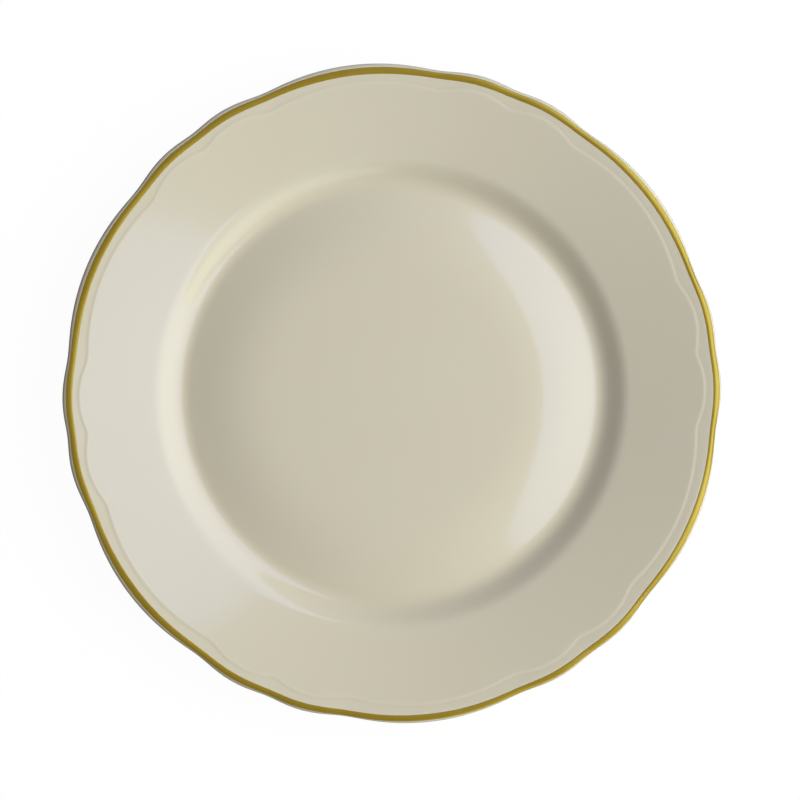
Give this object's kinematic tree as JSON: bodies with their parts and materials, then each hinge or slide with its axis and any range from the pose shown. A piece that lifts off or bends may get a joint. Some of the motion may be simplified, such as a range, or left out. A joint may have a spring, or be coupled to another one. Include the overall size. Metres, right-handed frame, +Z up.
{
  "type": "dinner plate",
  "caption": "Round rimmed dinner plate in glazed china with a scalloped edge, a moulded line inside the border, a gold line round the lip and a foot ring to stand on.",
  "frame": {"origin": "centre of the plate on the surface it stands on, in the plane of the foot ring's flat face", "axes": "+Z up through the middle of the plate, out of the well; +X out through the valley between two short arches, which is a mirror plane of the edge; +Y 90 degrees round from it, to the middle of a long arch"},
  "size_m": [0.2648, 0.2666, 0.0227],
  "materials": {
    "bare_china": "matt fired clay, ground smooth on the foot",
    "ivory_glaze": "glossy ivory glaze",
    "fired_gold": "bright gold, fired on and polished"
  },
  "bodies": {
    "root": {"china_body": "bare_china", "glaze_coat": "ivory_glaze", "foot_recess_glaze": "ivory_glaze", "gold_line": "fired_gold"}
  },
  "joints": []
}
